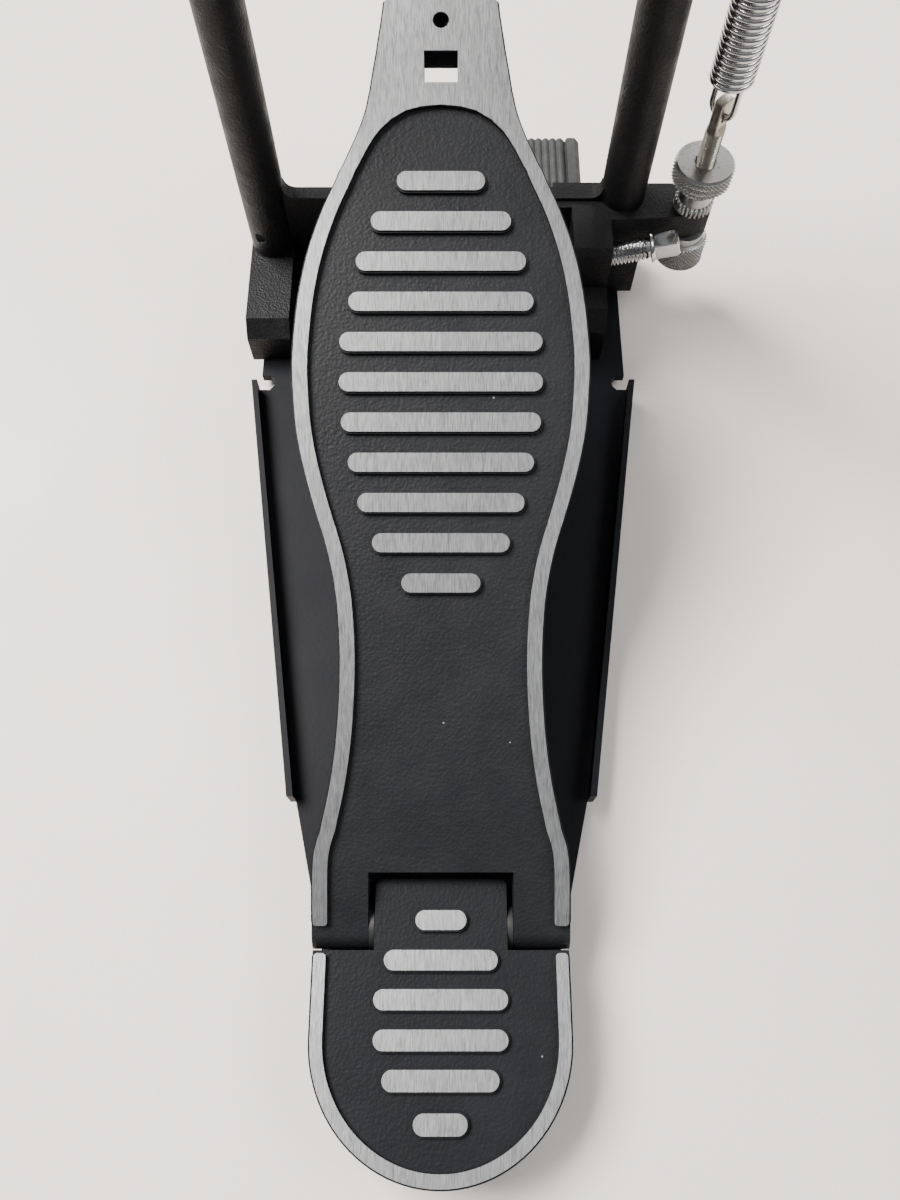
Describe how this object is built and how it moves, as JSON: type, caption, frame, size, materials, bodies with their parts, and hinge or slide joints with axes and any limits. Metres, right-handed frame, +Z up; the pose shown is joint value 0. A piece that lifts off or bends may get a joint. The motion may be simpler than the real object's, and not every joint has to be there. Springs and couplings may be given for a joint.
{
  "type": "bass drum pedal",
  "caption": "Single bass drum pedal: hinged footboard drives a sprung axle and felt beater through a chain, on a base with a hoop clamp.",
  "frame": {"origin": "on the floor, under the middle of the axle, on the front floor pad", "axes": "+Z up; +Y towards the drum; +X to the player's right"},
  "size_m": [0.1725, 0.3393, 0.3352],
  "materials": {
    "black_powder_coat": "matt textured black powder coat on a casting",
    "black_steel": "satin black paint on steel sheet",
    "board_casting": "black textured paint with brushed bare border and bars",
    "zinc": "bright zinc plate",
    "black_oxide": "black oxide",
    "chrome": "polished",
    "bearing_steel": "ground",
    "cage_brass": "plain",
    "sprocket_metal": "machined",
    "chain_steel": "nickel plated",
    "nylon": "plain",
    "rubber": "moulded",
    "felt": "pressed wool felt",
    "core_plastic": "moulded",
    "adjuster_zinc": "yellowed zinc plate"
  },
  "bodies": {
    "base": {"base_plate": "black_steel", "floor_pads": "rubber", "frame_screws": "zinc", "heel_screws": "zinc", "heel_plate": "board_casting", "hinge_pin": "zinc", "hinge_washers": "nylon", "frame": "black_powder_coat", "bearing_outer_races": "bearing_steel", "bearing_shields": "bearing_steel", "spring_rod": "adjuster_zinc", "clamp_pivot": "zinc", "lower_clamp_pad": "rubber", "clamp_spring": "zinc"},
    "board": {"footboard": "board_casting", "chain_bolt": "zinc", "chain_nut": "zinc", "chain_spacers": "nylon"},
    "axle_set": {"axle": "zinc", "axle_collar": "black_oxide", "collar_screw": "black_oxide", "sprocket": "sprocket_metal", "sprocket_screw": "black_oxide", "beater_hub": "black_powder_coat", "hub_screws": "black_oxide", "beater_rod": "chrome", "beater_clamp_screw": "chrome", "beater_felt": "felt", "beater_core": "core_plastic", "beater_washer": "zinc", "spring_crank": "black_powder_coat", "crank_screw": "black_oxide", "crank_pin": "zinc", "bearing_inner_races": "bearing_steel", "anchor_link": "chain_steel"},
    "ball_sets": {"bearing_balls": "bearing_steel", "bearing_cages": "cage_brass"},
    "chain_inner_link": {"inner_link": "chain_steel"},
    "chain_outer_link": {"outer_link": "chain_steel"},
    "chain_run": {"run_inner_plates": "chain_steel", "run_outer_plates": "chain_steel", "run_rollers": "chain_steel", "run_pins": "zinc", "chain_end": "chain_steel"},
    "spring_swing": {"return_spring": "chrome"},
    "spring_stretch": {"spring_hook": "chrome"},
    "upper_nut": {"upper_spring_nut": "chrome"},
    "lower_nut": {"lower_spring_nut": "chrome"},
    "clamp": {"clamp_lever": "black_powder_coat", "clamp_boot": "rubber"},
    "clamp_screw": {"clamp_bolt": "chrome"}
  },
  "joints": [
    {"name": "axle_turn", "type": "hinge", "parent": "base", "child": "axle_set", "pos_m": [0, 0, 0.185], "axis": [-1, 0, 0], "range_deg": [0, 44], "stiffness_Nm_per_rad": 1, "springref_deg": -20.05},
    {"name": "footboard_press", "type": "hinge", "parent": "base", "child": "board", "pos_m": [0, -0.236, 0.0145], "axis": [-1, 0, 0], "range_deg": [0, 4.19]},
    {"name": "bearing_roll", "type": "hinge", "parent": "base", "child": "ball_sets", "pos_m": [0, 0, 0.185], "axis": [-1, 0, 0], "range_deg": [0, 17.45]},
    {"name": "chain_bend_upper", "type": "hinge", "parent": "axle_set", "child": "chain_inner_link", "pos_m": [0, 0.01507, 0.20684], "axis": [1, 0, 0], "range_deg": [0, 17.62]},
    {"name": "chain_bend_middle", "type": "hinge", "parent": "chain_inner_link", "child": "chain_outer_link", "pos_m": [0, 0.02349, 0.19733], "axis": [1, 0, 0], "range_deg": [0, 17.62]},
    {"name": "chain_bend_lower", "type": "hinge", "parent": "chain_outer_link", "child": "chain_run", "pos_m": [0, 0.02653, 0.185], "axis": [1, 0, 0], "range_deg": [0, 10.37]},
    {"name": "spring_tilt", "type": "hinge", "parent": "base", "child": "spring_swing", "pos_m": [0.085, -0.0045, 0.086], "axis": [1, 0, 0], "range_deg": [0, 8.25]},
    {"name": "spring_pull", "type": "slide", "parent": "spring_swing", "child": "spring_stretch", "axis": [0, 0, 1], "range_m": [0, 0.0097], "deforming": ["return_spring", "spring_hook"]},
    {"name": "upper_nut_turn", "type": "hinge", "parent": "base", "child": "upper_nut", "pos_m": [0.085, -0.0045, 0.055], "axis": [0, 0, 1], "continuous": true},
    {"name": "lower_nut_turn", "type": "hinge", "parent": "base", "child": "lower_nut", "pos_m": [0.085, -0.0045, 0.028], "axis": [0, 0, 1], "continuous": true},
    {"name": "clamp_close", "type": "hinge", "parent": "base", "child": "clamp", "pos_m": [0, -0.032, 0.014], "axis": [-1, 0, 0], "range_deg": [0, 8], "stiffness_Nm_per_rad": 0.5, "springref_deg": -20.05, "deforming": ["clamp_spring"]},
    {"name": "clamp_bolt_feed", "type": "slide", "parent": "base", "child": "clamp_screw", "axis": [-0.9659, 0, -0.2588], "range_m": [0, 0.00216]}
  ],
  "couplings": [
    {"joint": "footboard_press", "follows": "axle_turn", "ratio": 0.0947},
    {"joint": "bearing_roll", "follows": "axle_turn", "ratio": 0.396},
    {"joint": "chain_bend_upper", "follows": "axle_turn", "ratio": 0.4},
    {"joint": "chain_bend_middle", "follows": "axle_turn", "ratio": 0.4},
    {"joint": "spring_tilt", "follows": "axle_turn", "ratio": 0.186},
    {"joint": "spring_pull", "follows": "axle_turn", "m_per_rad": 0.01255},
    {"joint": "chain_bend_lower", "follows": "axle_turn", "ratio": 0.2353},
    {"joint": "clamp_bolt_feed", "follows": "clamp_close", "m_per_rad": 0.0154}
  ]
}
